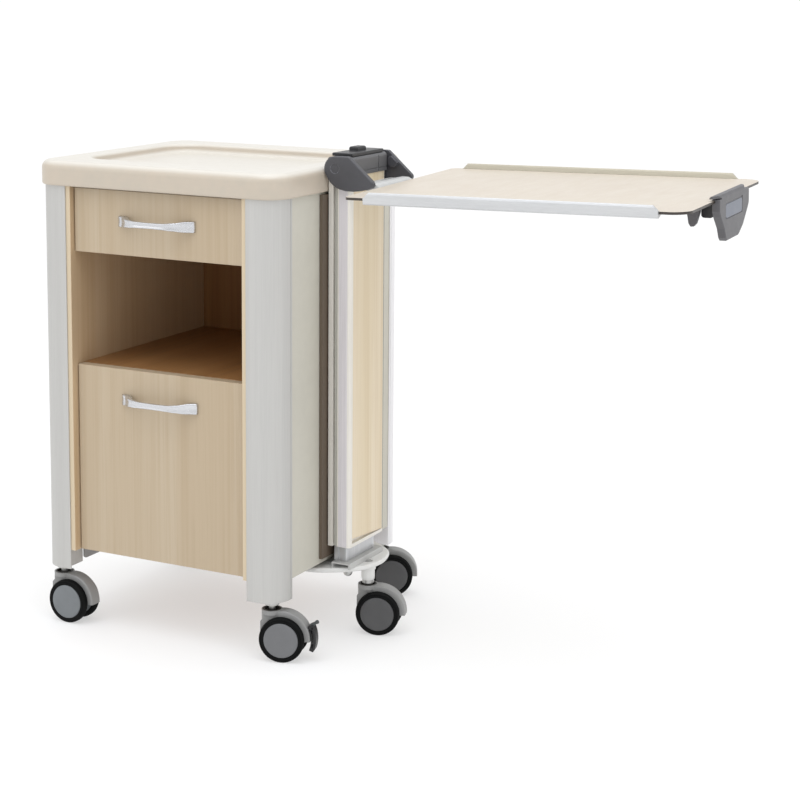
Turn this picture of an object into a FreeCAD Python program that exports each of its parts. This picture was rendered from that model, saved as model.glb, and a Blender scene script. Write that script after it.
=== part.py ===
import FreeCAD, Part
import os
import math
from FreeCAD import Vector as V, Rotation, Placement

# Hospital bedside cabinet with a height-adjustable folding over-bed table.
# Modelled in millimetres. While building, X is to the right, Y is to the back,
# Z is up and the origin is on the floor under the middle of the cabinet; the
# drawers face -Y. Before export everything is moved so that the origin is the
# centre of the bottom of the whole object's box.

# ------------------------------------------------------------ main dimensions
CAB_W = 468.0            # over the corner posts, left to right
CAB_D = 430.0            # over the corner posts, front to back
POST_W = 58.5            # corner post, along X
POST_D = 47.0            # corner post, along Y
POST_R = 38.0            # outer corner radius of a post
POST_WALL = 2.5
POST_Z0 = 98.0           # underside of the posts
TOP_Z0 = 756.0           # underside of the moulded top
TOP_Z1 = 797.0           # rim of the moulded top
TOP_OV = 5.0             # overhang of the top past the posts
TOP_R = 42.0
INNER_X = 167.0          # inner face of the wooden sides
BOARD = 18.0
CARC_Z0 = 131.2
D1_Z0, D1_Z1 = 646.0, 753.6     # upper drawer front
D2_Z0, D2_Z1 = 131.6, 453.4     # lower drawer front
D1_INSET, D2_INSET = 10.5, 14.5  # front faces behind the edge of the sides
FRONT_T = 18.0
SHELF_Z1 = 454.0
DRAWER_L = 348.0
HANDLE_L = 148.6
HANDLE_OFF = 27.0

WHEEL_R = 37.5
TRAIL = 20.0
STEM_IN = 25.5           # caster stems, in from the outer faces of the posts

# mast of the over-bed table, at the right side
MX0, MX1 = 243.0, 285.4
MY0, MY1 = -68.2, 52.2
M_OUT_Z0, M_OUT_Z1 = 160.5, 783.0
M_IN_X0, M_IN_X1 = 249.0, 273.5
M_IN_Y0, M_IN_Y1 = -57.0, 41.0
M_IN_Z0, M_IN_Z1 = 133.0, 700.0
FOOT_Z0, FOOT_Z1 = 115.0, 123.5
MAST_Y = -8.0            # middle of the mast section
MAST_X = 261.25          # middle of the inner column
NUT_Y = -29.6            # bolt that holds the mast to the foot
FOOT_CY, FOOT_REACH = 10.4, 305.8
MAST_MOVE = (-3.0, 5.6, 0.0)      # from where mast and table are drawn to where they stand
STEM5 = (287.4, -6.2)

# head and table
CHEEK_T = 9.0
CHEEK_Y0, CHEEK_Y1 = -80.0, 67.0    # outer faces of the two cheeks
HINGE_X, HINGE_Z = 323.5, 770.0     # fold hinge, along Y
TAB_X0 = 344.4           # middle of the table's inner end
TAB_Z = 772.2            # table surface there
TAB_L, TAB_W, TAB_T = 544.0, 436.0, 4.0
TAB_CY = -4.4            # middle of the board across
TAB_YAW = 3.0            # the board is fixed slightly turned on its leaf
TAB_ROLL = 0.57          # and its rear edge a little higher
TAB_TILT = 0.91          # the board is set slightly up at its free end
BOLT_AT = 50.0           # fixing bolt, from the inner end along the board

OUT = "parts"
os.makedirs(OUT, exist_ok=True)
S = {}


# ------------------------------------------------------------------- helpers
def box(x0, x1, y0, y1, z0, z1):
    return Part.makeBox(x1 - x0, y1 - y0, z1 - z0, V(x0, y0, z0))


def cyl(x, y, z, r, h, d=(0, 0, 1)):
    return Part.makeCylinder(r, h, V(x, y, z), V(*d))


def fuse(*ss):
    a = ss[0]
    for s in ss[1:]:
        a = a.fuse(s)
    return a.removeSplitter()


def ext(pts, d):
    w = Part.makePolygon([V(*p) for p in pts] + [V(*pts[0])])
    return Part.Face(w).extrude(V(*d))


def fil(s, r, test):
    es = [e for e in s.Edges if test(e)]
    if not es:
        return s
    try:
        t = s.makeFillet(r, es)
        if t.isValid() and t.Volume > 0:
            return t
    except Exception:
        pass
    return s


def chf(s, r, test):
    es = [e for e in s.Edges if test(e)]
    try:
        t = s.makeChamfer(r, es)
        if t.isValid() and t.Volume > 0:
            return t
    except Exception:
        pass
    return s


def along(e, ax):
    if len(e.Vertexes) < 2:
        return False
    a, b = e.Vertexes[0].Point, e.Vertexes[-1].Point
    d = b - a
    if d.Length < 1e-6:
        return False
    c = [abs(d.x), abs(d.y), abs(d.z)]
    return c[ax] / d.Length > 0.999


def flat_z(e, z, tol=0.01):
    b = e.BoundBox
    return abs(b.ZMin - z) < tol and abs(b.ZMax - z) < tol


def rbox(x0, x1, y0, y1, z0, z1, r):
    s = box(x0, x1, y0, y1, z0, z1)
    return s.makeFillet(r, [e for e in s.Edges if along(e, 2)])


def mirx(s):
    return s.mirror(V(0, 0, 0), V(1, 0, 0))


def miry(s):
    return s.mirror(V(0, 0, 0), V(0, 1, 0))


def group(*ss):
    return Part.makeCompound(list(ss))


def put(name, s):
    S[name] = s


# ------------------------------------------------------------- cabinet frame
hw, hd = CAB_W / 2, CAB_D / 2
yf = -hd                                   # front plane of the posts

# corner post: hollow rounded extrusion with a thin lip that covers the edge of
# the wooden side, front right
ox0 = INNER_X + BOARD + 0.5                # inner face of the hollow part
post = box(ox0, hw, yf, yf + POST_D, POST_Z0, TOP_Z0)
post = fil(post, POST_R, lambda e: along(e, 2) and e.Vertexes[0].Point.x > hw - 1
           and e.Vertexes[0].Point.y < yf + 1)
core = box(ox0 + POST_WALL, hw - POST_WALL, yf + POST_WALL, yf + POST_D - POST_WALL, POST_Z0 - 1, TOP_Z0 + 1)
core = fil(core, POST_R - POST_WALL, lambda e: along(e, 2) and e.Vertexes[0].Point.x > hw - POST_WALL - 1
           and e.Vertexes[0].Point.y < yf + POST_WALL + 1)
plug = core.common(box(0, 400, -400, 0, POST_Z0, POST_Z0 + 30))
lip = box(hw - POST_W, ox0 + 1, yf, yf + 2.0, POST_Z0, TOP_Z0)
post = fuse(post.cut(core), lip, plug)
post = post.cut(cyl(hw - STEM_IN, yf + STEM_IN, POST_Z0 - 1, 6.05, 31))
# shallow locating groove along the outer skin, next to the side panel
post = post.cut(box(hw - 0.8, hw + 1, yf + POST_D - 5.0, yf + POST_D - 3.8, POST_Z0 - 1, TOP_Z0 + 1))
put("corner_post_fr", post)
put("corner_post_fl", mirx(post))
put("corner_post_rr", miry(post))
put("corner_post_rl", mirx(miry(post)))

# steel angle behind each post: foot of the carcass side, with a screw hole
bx = INNER_X + BOARD
br = fuse(box(bx - 26, bx + 0.0, yf + POST_D + 1, yf + POST_D + 66, CARC_Z0 - 3.0, CARC_Z0),
          box(bx - 3.0, bx, yf + POST_D + 1, yf + POST_D + 66, 103.0, CARC_Z0))
br = fil(br, 6.0, lambda e: along(e, 0) and e.Vertexes[0].Point.z < 104)
br = br.cut(cyl(bx - 10, yf + POST_D + 45, 116, 3.2, 20, (1, 0, 0)))
br = br.cut(cyl(bx - 16, yf + POST_D + 20, CARC_Z0 - 8, 2.6, 20))
br = br.cut(cyl(bx - 16, yf + POST_D + 48, CARC_Z0 - 8, 2.6, 20))
put("caster_brackets", group(br, mirx(br), miry(br), mirx(miry(br))))

# cream outer side panels between the posts
sp = box(hw - 17.5, hw - 1.4, yf + POST_D + 0.1, -yf - POST_D - 0.1, CARC_Z0 - 0.5, TOP_Z0 - 0.1)
sp = fil(sp, 1.5, lambda e: along(e, 1) and e.Vertexes[0].Point.x > hw - 7 and e.Vertexes[0].Point.z < 140)
put("side_panel_right", sp)
put("side_panel_left", mirx(sp))

# wooden carcass
cs = box(INNER_X, INNER_X + BOARD, yf + 2.1, -yf - 2.1, CARC_Z0, TOP_Z0 - 0.1)
cs = fil(cs, 1.0, lambda e: along(e, 2) and e.Vertexes[0].Point.x < INNER_X + 1)
put("carcass_side_right", cs)
put("carcass_side_left", mirx(cs))
put("back_panel", box(-INNER_X + 0.1, INNER_X - 0.1, hd - 24.5, hd - 8.5, CARC_Z0 + 0.1, TOP_Z0 - 0.2))
yb = hd - 24.6
ys1, ys2 = yf + 1.5 + D1_INSET + FRONT_T + 0.7, yf + 1.5 + D2_INSET + FRONT_T + 0.7
put("carcass_bottom", box(-INNER_X + 0.1, INNER_X - 0.1, ys2, yb, CARC_Z0 + 0.1, CARC_Z0 + 16.0))
put("middle_shelf", box(-INNER_X + 0.1, INNER_X - 0.1, ys2, yb, SHELF_Z1 - 16.0, SHELF_Z1))
put("drawer_divider", box(-INNER_X + 0.1, INNER_X - 0.1, ys1, yb, 647.4, 663.4))
put("top_board", box(-INNER_X + 0.1, INNER_X - 0.1, ys1, yb, TOP_Z0 - 16.2, TOP_Z0 - 0.2))

# moulded top: rounded rim round a shallow tray, ribbed shell underneath
tx, ty = hw + TOP_OV, hd + TOP_OV
top = box(-tx, tx, -ty, ty, TOP_Z0, TOP_Z1)
top = top.makeFillet(TOP_R, [e for e in top.Edges if along(e, 2)])
tray = box(-190, 190, -150, 150, TOP_Z1 - 14.0, TOP_Z1 + 10)
tray = tray.makeFillet(52.0, [e for e in tray.Edges if along(e, 2)])
tray = fil(tray, 9.0, lambda e: flat_z(e, TOP_Z1 - 14.0))
under = box(-tx + 7, tx - 7, -ty + 7, ty - 7, TOP_Z0 - 5, TOP_Z1 - 19.5)
under = under.makeFillet(TOP_R - 7, [e for e in under.Edges if along(e, 2)])
top = top.cut(tray)
top = fil(top, 13.0, lambda e: flat_z(e, TOP_Z1) and (abs(e.BoundBox.Center.x) > 205 or abs(e.BoundBox.Center.y) > 190))
top = fil(top, 7.0, lambda e: flat_z(e, TOP_Z1) and abs(e.BoundBox.Center.x) < 191 and abs(e.BoundBox.Center.y) < 151)
top = top.cut(under)
top = fil(top, 3.0, lambda e: flat_z(e, TOP_Z0) and (e.BoundBox.XMax > tx - 5 or e.BoundBox.XMin < -tx + 5 or e.BoundBox.YMax > ty - 5 or e.BoundBox.YMin < -ty + 5) and max(abs(e.BoundBox.XMax), abs(e.BoundBox.XMin)) > tx - 6.5 and True)
put("top_moulding", top)


# ------------------------------------------------------------------- drawers
def bow_handle(x0, y0, z0):
    # bow seen from above, thinner in height at its middle
    h = HANDLE_L / 2
    o = HANDLE_OFF
    outer = [(-h, 0), (-h, -3.5), (-h + 7, -7.5), (-h + 27, -o + 5.5), (-h + 36, -o + 1.8), (-h + 48, -o + 0.4),
             (h - 48, -o + 0.4), (h - 36, -o + 1.8), (h - 27, -o + 5.5), (h - 7, -7.5), (h, -3.5), (h, 0)]
    inner = [(h - 16, 0), (h - 18, -3.0), (h - 32, -o + 9.8), (h - 40, -o + 6.4), (h - 50, -o + 5.2),
             (-h + 50, -o + 5.2), (-h + 40, -o + 6.4), (-h + 32, -o + 9.8), (-h + 18, -3.0), (-h + 16, 0)]
    a = ext([(p[0], p[1], -12) for p in outer + inner], (0, 0, 24))
    # height seen from the front: tall ends, slim middle
    prof = [(-h - 1, 9.8), (-h + 14, 9.4), (-h + 34, 6.2), (-h + 50, 5.2), (h - 50, 5.2), (h - 34, 6.2), (h - 14, 9.4), (h + 1, 9.8)]
    pts = [(p[0], 2, p[1]) for p in prof] + [(p[0], 2, -p[1]) for p in reversed(prof)]
    b = ext(pts, (0, -o - 6, 0))
    s = a.common(b)
    for sx in (-1, 1):
        s = s.cut(cyl(sx * 64.0, -6.0, 0, 1.95, 7.0, (0, 1, 0)))
    s.translate(V(x0, y0, z0))
    return s


def slide_fixed(side, z, y0, y1):
    # C-section fixed to the carcass side, open toward the drawer
    x0, x1 = INNER_X - 12.0, INNER_X - 0.1
    s = box(x0, x1, y0, y1, z - 13, z + 13).cut(box(x0 - 1, x1 - 1.5, y0 - 1, y1 + 1, z - 11.5, z + 11.5))
    s = s.cut(box(x0 - 1, x0 + 7.5, y0 - 1, y1 + 1, z - 11.0, z + 11.0))
    return s if side > 0 else mirx(s)


def slide_moving(side, z, y0, y1):
    # runner screwed to the drawer side, its tongue inside the C-section
    xs = INNER_X - 13.1
    s = fuse(box(xs, xs + 1.0, y0, y1, z - 9.5, z + 9.5), box(xs + 0.5, INNER_X - 2.6, y0, y1, z - 6.0, z + 6.0))
    s = s.cut(box(xs + 1.0, INNER_X - 4.1, y0 - 1, y1 + 1, z - 4.5, z + 4.5))
    return s if side > 0 else mirx(s)


def drawer(pre, z0, z1, inset, box_z0, box_z1, slide_z, handle_z):
    y0 = yf + 1.5 + inset
    y1 = y0 + FRONT_T
    fr = box(-INNER_X + 2.0, INNER_X - 2.0, y0, y1, z0, z1)
    fr = fil(fr, 1.2, lambda e: abs(e.BoundBox.YMin - y0) < 0.01 and abs(e.BoundBox.YMax - y0) < 0.01)
    for sx in (-1, 1):
        fr = fr.cut(cyl(sx * 64.0, y0 - 1, handle_z, 2.3, FRONT_T + 2, (0, 1, 0)))
    put(pre + "_drawer_front", fr)
    xo = INNER_X - 13.2
    yl = y1 + DRAWER_L
    sd = box(xo - 12.0, xo, y1 + 0.1, yl, box_z0, box_z1)
    sd = sd.cut(box(xo - 13, xo - 6.0, y1 - 1, yl - 12.0, box_z0 + 8.0, box_z0 + 14.1))
    put(pre + "_drawer_sides", group(sd, mirx(sd)))
    put(pre + "_drawer_back", box(-xo + 12.1, xo - 12.1, yl - 12.0, yl, box_z0 + 8.0, box_z1))
    put(pre + "_drawer_bottom", box(-xo + 6.2, xo - 6.2, y1 + 0.2, yl - 12.1, box_z0 + 8.1, box_z0 + 14.0))
    put(pre + "_handle", bow_handle(0, y0, handle_z))
    put(pre + "_drawer_runners", group(slide_moving(1, slide_z, y1 + 6, yl - 2), slide_moving(-1, slide_z, y1 + 6, yl - 2)))
    return y1


drawer("upper", D1_Z0, D1_Z1, D1_INSET, 669.4, 733.0, 687.4, 702.6)
drawer("lower", D2_Z0, D2_Z1, D2_INSET, 156.0, 404.0, 186.0, 402.6)
put("drawer_slides_fixed", group(slide_fixed(1, 687.4, -176, 168), slide_fixed(-1, 687.4, -176, 168),
                                 slide_fixed(1, 186.0, -172, 172), slide_fixed(-1, 186.0, -172, 172)))

# ------------------------------------------------------------- mast and foot
# cast foot: a flat rounded plate that starts under the cabinet side
half = [(196.0, -89.5), (211.2, -88.6), (226.0, -86.6), (238.0, -82.0), (252.0, -74.5), (266.0, -65.0), (280.5, -53.0), (293.0, -38.5),
        (301.0, -18.0), (FOOT_REACH, FOOT_CY)]
rim = [V(x, y, FOOT_Z0) for x, y in half] + [V(x, 2 * FOOT_CY - y, FOOT_Z0) for x, y in reversed(half[:-1])]
cur = Part.BSplineCurve()
cur.interpolate(rim)
foot = Part.Face(Part.Wire([cur.toShape(), Part.makeLine(rim[-1], rim[0])])).extrude(V(0, 0, FOOT_Z1 - FOOT_Z0))
foot = fil(foot, 2.5, lambda e: flat_z(e, FOOT_Z1) and e.BoundBox.XMax > FOOT_REACH - 1)
foot = fil(foot, 3.5, lambda e: flat_z(e, FOOT_Z0) and e.BoundBox.XMax > FOOT_REACH - 1)
pad = box(150.0, 218.0, MAST_Y - 52, MAST_Y + 52, FOOT_Z0 + 3, CARC_Z0 - 0.2)
pad = fil(pad, 8.0, lambda e: along(e, 2) and e.Vertexes[0].Point.x < 151)
foot = fuse(foot, pad)
foot = fuse(foot, cyl(STEM5[0], STEM5[1], FOOT_Z0 - 5.0, 13.0, 6.0))
foot = foot.cut(cyl(STEM5[0], STEM5[1], FOOT_Z0 - 6, 8.05, 18.0))
foot = foot.cut(cyl(MAST_X, NUT_Y, FOOT_Z0 - 1, 4.1, 30))
put("mast_foot", foot)

chn = box(250.5, 284.6, MY0 + 1, MY1 - 0, FOOT_Z1, M_IN_Z0)
chn = chn.cut(box(253.0, 282.1, MY0 - 5, MY1 + 5, FOOT_Z1 - 1, M_IN_Z0 - 2.6))
chn = fil(chn, 1.0, lambda e: along(e, 1) and abs(e.Vertexes[0].Point.z - M_IN_Z0) < 0.01)
put("foot_channel", chn.cut(cyl(MAST_X, NUT_Y, FOOT_Z0 - 1, 4.1, 40)))

# dome nut and bolt that hold the mast to the foot
nut = fuse(cyl(MAST_X, NUT_Y, FOOT_Z0 - 8.0, 8.0, 7.9), cyl(MAST_X, NUT_Y, FOOT_Z0 - 4.0, 4.0, 25.5))
dome = Part.makeSphere(8.0, V(MAST_X, NUT_Y, FOOT_Z0 - 8.0)).common(box(200, 300, -200, 200, FOOT_Z0 - 16.0, FOOT_Z0 - 7.9))
put("foot_cap_nut", fuse(nut, dome))

# fixed inner column, a hollow section with two guide grooves
inn = box(M_IN_X0, M_IN_X1, M_IN_Y0, M_IN_Y1, M_IN_Z0 + 0.1, M_IN_Z1)
inn = inn.makeFillet(2.0, [e for e in inn.Edges if along(e, 2)])
inn = inn.cut(box(M_IN_X0 + 2.5, M_IN_X1 - 2.5, M_IN_Y0 + 2.5, M_IN_Y1 - 2.5, M_IN_Z0 + 8, M_IN_Z1 + 5))
inn = inn.cut(box(257.75, 264.75, M_IN_Y0 - 1, M_IN_Y0 + 1.3, M_IN_Z0 - 1, M_IN_Z1 + 1))
inn = inn.cut(box(257.75, 264.75, M_IN_Y1 - 1.3, M_IN_Y1 + 1, M_IN_Z0 - 1, M_IN_Z1 + 1))
inn = inn.cut(cyl(MAST_X, NUT_Y, FOOT_Z0 - 1, 4.1, 40))
put("inner_column", inn)

gx, gy = MAST_X, MAST_Y
gc = cyl(gx, gy, M_IN_Z0 + 8.1, 9.3, 360).cut(cyl(gx, gy, M_IN_Z0 + 15, 7.7, 341)).cut(cyl(gx, gy, M_IN_Z0 + 300, 4.06, 100))
put("gas_spring_cylinder", gc)
rod = fuse(cyl(gx, gy, 160.0, 4.0, M_OUT_Z1 + 4.0 - 160.0), cyl(gx, gy, 157.0, 7.3, 14.0))
put("gas_spring_rod", rod)

# sliding outer column: aluminium section, slot in the front, recess for the
# wooden infill on the right
oc = box(MX0, MX1, MY0, MY1, M_OUT_Z0, M_OUT_Z1)
oc = fil(oc, 6.0, lambda e: along(e, 2) and e.Vertexes[0].Point.x > MX1 - 1)
oc = fil(oc, 2.0, lambda e: along(e, 2) and e.Vertexes[0].Point.x < MX0 + 1)
oc = oc.cut(box(MX0 + 2.6, 276.8, MY0 + 3.0, MY1 - 3.0, M_OUT_Z0 - 1, M_OUT_Z1 + 1))
slot = fuse(box(251.0, 262.5, MY0 + 2.0, MY0 + 9.6, M_OUT_Z0, M_OUT_Z1))
oc = fuse(oc, slot)
oc = oc.cut(box(252.6, 260.9, MY0 - 1, MY0 + 8.0, M_OUT_Z0 - 1, M_OUT_Z1 + 1))
oc = oc.cut(box(279.4, MX1 + 1, MY0 + 9.0, MY1 - 6.0, M_OUT_Z0 + 5.6, M_OUT_Z1 + 1))
# light weight pockets in the solid right-hand flanges
oc = oc.cut(box(278.3, 283.8, MY0 + 2.6, MY0 + 7.4, M_OUT_Z0 - 1, M_OUT_Z1 + 1))
put("outer_column", oc)
inf = ext([(279.5, MY0 + 9.1, 174.9), (279.5, MY1 - 6.1, 166.3), (279.5, MY1 - 6.1, M_OUT_Z1 - 0.1), (279.5, MY0 + 9.1, M_OUT_Z1 - 0.1)],
          (5.7, 0, 0))
put("column_infill", inf)
# plastic guide at the foot of the sliding column, round the inner column
gl = box(MX0 + 2.7, 276.7, MY0 + 9.8, MY1 - 3.1, M_OUT_Z0 + 1.0, M_OUT_Z0 + 31.0)
gl = gl.cut(box(M_IN_X0 - 0.35, M_IN_X1 + 0.35, M_IN_Y0 - 0.35, M_IN_Y1 + 0.35, 0, 900))
put("column_guide", gl)

# --------------------------------------------------------------------- head
hz = M_OUT_Z1
hs = box(MX0 + 0.6, 286.6, CHEEK_Y0 + CHEEK_T + 0.1, CHEEK_Y1 - CHEEK_T - 4.0, hz + 0.1, 814.0)
hs = fil(hs, 6.0, lambda e: along(e, 1) and e.Vertexes[0].Point.z > 813)
hs = hs.cut(box(285.4, 288.0, 24.0, 26.0, hz, 816.0))
hs = hs.cut(box(285.6, 288.0, -90.0, 90.0, 789.0, 790.2))
hs = hs.cut(box(249.0, 282.0, -60.0, 46.0, 802.0, 820.0))
hs = hs.cut(box(250.0, 277.0, -55.0, 39.0, hz - 1, 797.0))
put("head_housing", hs)


def cheek(y0):
    c = (261.3, 795.8)
    r = 20.0
    pts = []
    for a in range(92, 213, 10):
        pts.append((c[0] + r * math.cos(math.radians(a)), c[1] + r * math.sin(math.radians(a))))
    pts += [(248.0, 778.6), (254.5, 771.0), (262.0, 765.6), (270.0, 762.2), (281.0, 760.2), (295.0, 760.0), (308.0, 761.6), (320.0, 764.4),
            (327.5, 767.2), (330.6, 769.8), (331.6, 772.6), (331.4, 775.4), (329.8, 778.0), (287.6, 815.2), (285.6, 816.0), (282.0, 816.2)]
    return ext([(p[0], y0, p[1]) for p in pts], (0, CHEEK_T, 0))


def finish_cheek(s, outer_y, inner_dir):
    s = fil(s, 2.0, lambda e: abs(e.BoundBox.YMin - outer_y) < 0.01 and abs(e.BoundBox.YMax - outer_y) < 0.01)
    s = s.cut(cyl(HINGE_X, outer_y + inner_dir * 3.0, HINGE_Z, 3.05, CHEEK_T, (0, inner_dir, 0)))
    # round cap seat over the fixing screw
    s = s.cut(cyl(261.3, outer_y - inner_dir * 1.0, 796.0, 8.0, 1.8, (0, inner_dir, 0)))
    return s


# the rear cheek carries a round boss on its inner face, beside the housing
boss = cyl(297.0, CHEEK_Y1 - CHEEK_T - 5.0, 798.0, 9.5, 5.5, (0, 1, 0))
boss = fil(boss, 1.2, lambda e: abs(e.BoundBox.YMin - (CHEEK_Y1 - CHEEK_T - 5.0)) < 0.01 and abs(e.BoundBox.YMax - (CHEEK_Y1 - CHEEK_T - 5.0)) < 0.01)
boss = boss.common(ext([(285.0, 40, 780.0), (309.0, 40, 780.0), (309.0, 40, 794.0), (293.0, 40, 808.5), (285.0, 40, 812.0)], (0, 40, 0)))
put("head_cheeks", group(finish_cheek(cheek(CHEEK_Y0), CHEEK_Y0, 1), fuse(finish_cheek(cheek(CHEEK_Y1 - CHEEK_T), CHEEK_Y1, -1), boss)))
put("hinge_pin", cyl(HINGE_X, CHEEK_Y0 + 3.1, HINGE_Z, 2.98, CHEEK_Y1 - CHEEK_Y0 - 6.2, (0, 1, 0)))

# release lever: plate with a thumb hump, hinged at its left edge
lv = box(246.0, 283.5, -60.0, 47.0, 814.6, 819.8)
lv = fil(lv, 1.5, lambda e: flat_z(e, 819.8))
hump = box(252.0, 268.5, -14.0, 14.0, 818.0, 826.5)
hump = fil(hump, 3.2, lambda e: flat_z(e, 826.5))
web = box(252.0, 279.0, -46.0, 34.0, 803.0, 815.0)
put("release_lever", fuse(lv, hump, web))
LEVER = (248.0, -7.0, 814.4)

# --------------------------------------------------------------- table group
# Built flat: x along the board from its inner end, y across, z = 0 on top.
hwid = TAB_W / 2
T = {}
tb = box(0, TAB_L, -hwid, hwid, -TAB_T, 0)
tb = fil(tb, 12.0, lambda e: along(e, 2) and e.Vertexes[0].Point.x < 1)
tb = fil(tb, 30.0, lambda e: along(e, 2) and e.Vertexes[0].Point.x > TAB_L - 1)
tb = tb.cut(cyl(BOLT_AT, 0, -TAB_T - 1, 4.0, 3.0))
T["tabletop"] = tb


def rail(sy):
    x0, x1 = (34.5, 501.5) if sy < 0 else (20.0, 502.5)
    w = hwid + 0.1
    pr = [(w - 11.0, -4.25), (w - 11.0, -6.0), (w - 7.0, -7.8), (w - 1.0, -9.8), (w + 1.6, -10.0), (w + 3.2, -8.2), (w + 3.4, -1.0), (w + 2.9, 5.6),
          (w + 1.6, 8.2), (w - 0.2, 9.1), (w - 1.6, 8.5), (w - 2.6, 6.4), (w - 4.4, 0.12), (w, 0.12), (w, -4.25)]
    s = ext([(x0, p[0], p[1]) for p in pr], (x1 - x0, 0, 0))
    # lip ends cut on the slant
    for a, d in ((x0, 1), (x1, -1)):
        s = s.cut(ext([(a - d, w - 6, 0.6), (a + d * 1.0, w - 6, 0.6), (a + d * 8.5, w - 6, 9.0), (a - d, w - 6, 9.0)], (0, 12, 0)))
    if sy < 0:
        s = s.mirror(V(0, 0, 0), V(0, 1, 0))
    return s


T["table_rail_front"] = rail(-1)
T["table_rail_rear"] = rail(1)

# end grip: shield under the end of the board, a flap that clamps the board
# from above, and a hooked tab further in
GX0, GX1 = 540.2, 552.0
sh = [(-73, 1.5), (99, 1.5), (101, -2.0), (101, -22), (96, -28), (67, -53), (44, -64), (38, -66), (-29, -66), (-36, -61), (-45, -46), (-67, -25), (-73, -17)]
gr = ext([(GX0, p[0] , p[1]) for p in sh], (GX1 - GX0, 0, 0))
gr = fil(gr, 2.5, lambda e: abs(e.BoundBox.XMin - GX1) < 0.01 and abs(e.BoundBox.XMax - GX1) < 0.01 and e.BoundBox.ZMin < 1)
flap = ext([(538.0, -84, 3.4), (541.0, -84, 7.2), (549.0, -84, 7.2), (552.0, -84, 3.0), (552.0, -84, 0.16), (538.0, -84, 0.16)], (0, 173.0, 0))
flap = flap.cut(ext([(543.0, -85, -1), (560.0, -85, -1), (560.0, -42, -1)], (0, 0, 20))).cut(ext([(544.5, 90, 1.6), (560.0, 90, 1.6), (560.0, 52, 1.6)], (0, 0, 20)))
flap = flap.cut(box(530.0, 560.0, -85, -62, 0.0, 3.2))
flap = fil(flap, 1.0, lambda e: along(e, 1) and e.Vertexes[0].Point.z > 7)
gr = fuse(gr, flap)
gr = gr.cut(box(530.0, TAB_L + 0.1, -140, 140, -TAB_T - 0.15, 0.14))
gr = gr.cut(box(GX1 - 1.0, GX1 + 1, -38, 60, -32, -6))
hookp = [(495.5, -4.2), (515.0, -4.2), (514.5, -22.0), (509.5, -39.0), (505.5, -43.6), (500.5, -43.6), (497.5, -39.0), (494.5, -20.0)]
hook = ext([(p[0], -50.0, p[1]) for p in hookp], (0, 8.0, 0))
hook = fil(hook, 2.0, lambda e: along(e, 1) and e.Vertexes[0].Point.z < -38)
# height release trigger behind the shield
tr = box(511.0, 530.0, -28.0, 32.0, -32.5, -8.0)
tr = fil(tr, 5.0, lambda e: along(e, 1) and e.Vertexes[0].Point.z < -32)
T["height_trigger"] = fuse(tr, cyl(515.5, -28.0, -9.2, 4.2, 60.0, (0, 1, 0)))
TRIG = (515.5, 2.0, -9.2)
# lugs that carry the trigger are part of the board's end plate
lug = fuse(box(509.0, 526.0, -33.0, -28.5, -14.0, -4.2), box(509.0, 526.0, 32.5, 37.0, -14.0, -4.2), box(509.0, 526.0, -33.0, 37.0, -4.75, -4.15))
T["end_grip"] = group(gr, hook, lug)

# leaf of the fold hinge, under the board, with the barrel round the pin
leaf_len = 96.0
lz1 = -TAB_T - 0.45


def table_place(s):
    s = s.copy()
    s.rotate(V(0, 0, 0), V(1, 0, 0), TAB_ROLL)
    s.rotate(V(0, 0, 0), V(0, 1, 0), -TAB_TILT)
    s.rotate(V(0, 0, 0), V(0, 0, 1), TAB_YAW)
    s.translate(V(TAB_X0, TAB_CY, TAB_Z))
    return s


for k in T:
    put(k, table_place(T[k]))

ly0, ly1 = CHEEK_Y0 + CHEEK_T + 0.6, 52.4
side = [(293.5, 765.4), (293.5, 771.0), (312.0, 771.6), (317.0, 774.4), (328.5, 774.4), (334.0, 771.6), (337.5, 768.3), (339.4, 768.0),
        (339.4, 766.2), (356.0, 766.2), (356.0, 762.6), (315.0, 762.6), (309.0, 765.4)]
leaf = fuse(ext([(p[0], ly0, p[1]) for p in side], (0, ly1 - ly0, 0)),
            table_place(box(3.0, 104.0, ly0 + 5.0, ly1 + 2.0, -TAB_T - 5.4, -TAB_T - 0.5)))
leaf = leaf.cut(cyl(HINGE_X, ly0 - 1, HINGE_Z, 3.05, ly1 - ly0 + 2, (0, 1, 0)))
# drain slot behind the knuckle, and the bore of the bolt under the board
leaf = leaf.cut(box(300.5, 308.5, 0.0, 40.0, 755, 790))
leaf = leaf.cut(table_place(cyl(BOLT_AT, 0, -25.0, 4.06, 30.0)))
put("hinge_leaf", leaf)
bolt = fuse(cyl(BOLT_AT, 0, -14.6, 8.0, 4.2), cyl(BOLT_AT, 0, -12.0, 3.98, 9.9))
put("leaf_bolt", table_place(bolt))

# the mast, its head and the table were drawn a little off their place
MOVED = ["mast_foot", "foot_channel", "foot_cap_nut", "inner_column", "gas_spring_cylinder", "gas_spring_rod", "outer_column", "column_infill",
         "column_guide", "head_housing", "head_cheeks", "hinge_pin", "release_lever", "hinge_leaf", "leaf_bolt"] + list(T)
for k in MOVED:
    S[k] = S[k].translated(V(*MAST_MOVE))


def moved(p):
    return tuple(a + b for a, b in zip(p, MAST_MOVE))


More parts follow.
